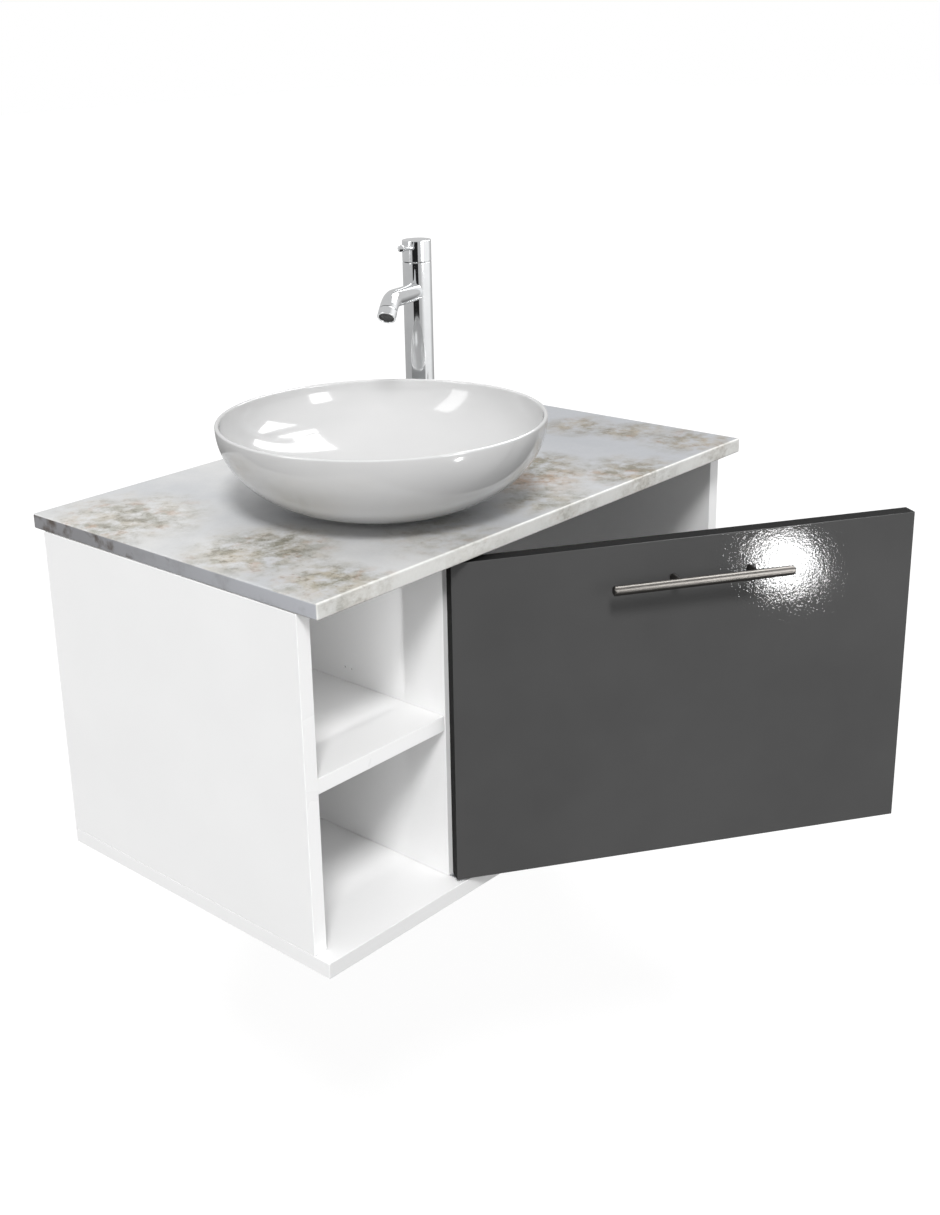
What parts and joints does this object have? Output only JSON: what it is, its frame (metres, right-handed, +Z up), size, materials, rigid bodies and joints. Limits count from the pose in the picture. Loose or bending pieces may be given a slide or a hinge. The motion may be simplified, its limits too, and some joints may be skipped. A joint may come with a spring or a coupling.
{
  "type": "wall-hung vanity unit with vessel sink",
  "caption": "Wall-hung vanity with an open niche, one dark pivoting door, a marble-look top, a round vessel basin and a tall single-lever mixer tap",
  "frame": {"origin": "on the wall plane, in the middle of the vanity's width, at the lower edge of the spacer's wall face", "axes": "+X right as seen from the room, +Y into the wall, +Z up; Z = 0 is the underside of the carcass"},
  "size_m": [0.8, 0.7967, 0.7327],
  "materials": {
    "white_board": "satin white melamine-faced board",
    "grey_gloss": "high-gloss dark grey lacquer on board",
    "stone": "polished off-white marble with beige, olive and rust veins",
    "ceramic": "gloss white glaze",
    "chrome": "polished chrome plate",
    "nickel": "brushed nickel",
    "zinc": "zinc-plated steel",
    "brass": "plain brass",
    "plywood": "raw plywood",
    "white_plastic": "white acetal",
    "rubber": "matte black",
    "clear_rubber": "translucent grey silicone"
  },
  "bodies": {
    "cabinet": {"aerator": "chrome", "back_panel": "white_board", "basin": "ceramic", "basin_seal": "clear_rubber", "bottom_panel": "white_board", "bracket_screw_lower": "zinc", "bracket_screw_upper": "zinc", "cabinet_cleat": "plywood", "cartridge": "white_plastic", "cleat_screw_left": "zinc", "cleat_screw_right": "zinc", "countertop": "stone", "divider_panel": "white_board", "drain_body": "chrome", "drain_nut": "brass", "inlet_tail_cold": "brass", "inlet_tail_hot": "brass", "lower_spacer": "plywood", "niche_rail": "white_board", "niche_shelf": "white_board", "pivot_bracket_lower": "zinc", "pivot_bracket_upper": "zinc", "pivot_pin_lower": "zinc", "pivot_pin_upper": "zinc", "shelf_pin_1": "nickel", "shelf_pin_2": "nickel", "shelf_pin_3": "nickel", "shelf_pin_4": "nickel", "side_panel_left": "white_board", "side_panel_right": "white_board", "tap_body": "chrome", "tap_clamp": "zinc", "tap_nut": "brass", "tap_seal": "rubber", "tap_spout": "chrome", "tap_stud": "zinc", "top_rail_back": "white_board", "top_rail_front": "white_board", "trap_body": "chrome", "trap_cup": "chrome", "trap_inlet_nut": "chrome", "trap_outlet_nut": "chrome", "wall_cleat": "plywood", "wall_rosette": "chrome", "waste_pipe": "chrome"},
    "door": {"door_panel": "grey_gloss", "pivot_bush_lower": "white_plastic", "pivot_bush_upper": "white_plastic", "door_buffer_lower": "clear_rubber", "door_buffer_upper": "clear_rubber", "handle_bar": "nickel", "handle_post_left": "nickel", "handle_post_right": "nickel", "handle_screw_left": "zinc", "handle_screw_right": "zinc"},
    "plug": {"drain_plug": "chrome"},
    "valve_stem": {"cartridge_stem": "brass"},
    "tap_handle": {"tap_cap": "chrome", "lever_pin": "chrome"}
  },
  "joints": [
    {"name": "door_hinge", "type": "hinge", "parent": "cabinet", "child": "door", "pos_m": [-0.167, -0.481, 0.223], "axis": [0, 0, -1], "range_deg": [-33, 57]},
    {"name": "plug_lift", "type": "slide", "parent": "cabinet", "child": "plug", "axis": [0, 0, 1], "range_m": [0, 0.012]},
    {"name": "handle_swivel", "type": "hinge", "parent": "cabinet", "child": "valve_stem", "pos_m": [0.098, -0.194, 0.6992], "axis": [0, 0, 1], "range_deg": [-45, 45]},
    {"name": "handle_tilt", "type": "hinge", "parent": "valve_stem", "child": "tap_handle", "pos_m": [0.11522, -0.18597, 0.703], "axis": [-0.4227, 0.9063, 0], "range_deg": [0, 20]}
  ]
}
